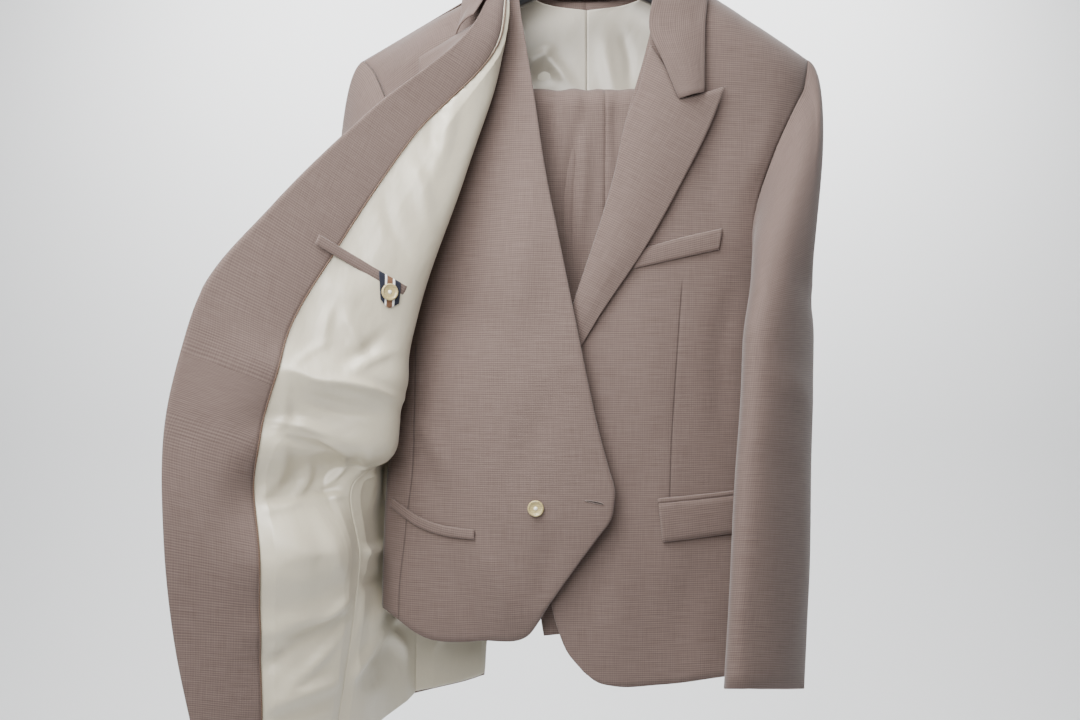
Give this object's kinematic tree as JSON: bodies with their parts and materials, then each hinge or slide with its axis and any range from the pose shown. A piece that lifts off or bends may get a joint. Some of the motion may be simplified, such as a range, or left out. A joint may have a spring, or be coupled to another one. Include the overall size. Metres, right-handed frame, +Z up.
{
  "type": "three-piece suit on its hanger",
  "caption": "Tailored suit of jacket, waistcoat and trousers, hanging from a rail on a shaped hanger, with the jacket's right front folded open over its lining.",
  "frame": {"origin": "where a wardrobe rail touches the inside of the hook's bend, at its top", "axes": "+Z up, -Y towards the suit's front, +X towards the wearer's left, which is the viewer's right"},
  "size_m": [0.6059, 0.2579, 0.8652],
  "materials": {
    "suiting": "matt mauve-taupe wool in a fine two-colour pick weave",
    "cream_satin": "cream lining satin with a soft sheen",
    "grey_satin": "pale warm-grey lining satin with a soft sheen",
    "piping": "brown silk covered cord",
    "striped_ribbon": "navy ribbon with plain pale and brown stripes",
    "horn": "polished pale olive-gold horn with a raised rim",
    "black_wood": "smooth black lacquered wood",
    "steel": "bright plated steel wire"
  },
  "bodies": {
    "root": {"hanger_hook": "steel", "hanger_arms": "black_wood", "hanger_bar": "steel", "jacket_left_front": "suiting", "jacket_left_side": "suiting", "jacket_back_left": "suiting", "left_lapel": "suiting", "jacket_right_front": "suiting", "jacket_right_side": "suiting", "jacket_back_right": "suiting", "right_lapel": "suiting", "right_facing": "suiting", "facing_piping": "piping", "right_front_lining": "cream_satin", "right_side_lining": "cream_satin", "right_back_lining": "cream_satin", "collar_fall": "suiting", "collar_stand": "suiting", "left_top_sleeve": "suiting", "left_under_sleeve": "suiting", "right_top_sleeve": "suiting", "right_under_sleeve": "suiting", "breast_welt": "suiting", "left_flap": "suiting", "left_jet": "suiting", "right_flap": "suiting", "right_jet": "suiting", "jacket_button_top": "horn", "jacket_button_low": "horn", "inside_pocket_welt": "suiting", "inside_pocket_tab": "striped_ribbon", "inside_pocket_button": "horn", "waistcoat_left_front": "suiting", "waistcoat_right_front": "suiting", "waistcoat_back_left": "grey_satin", "waistcoat_back_right": "grey_satin", "waistcoat_welt": "suiting", "waistcoat_button": "horn", "trousers_left_front": "suiting", "trousers_left_back": "suiting", "trousers_right_front": "suiting", "trousers_right_back": "suiting", "trousers_waistband": "suiting"}
  },
  "joints": []
}
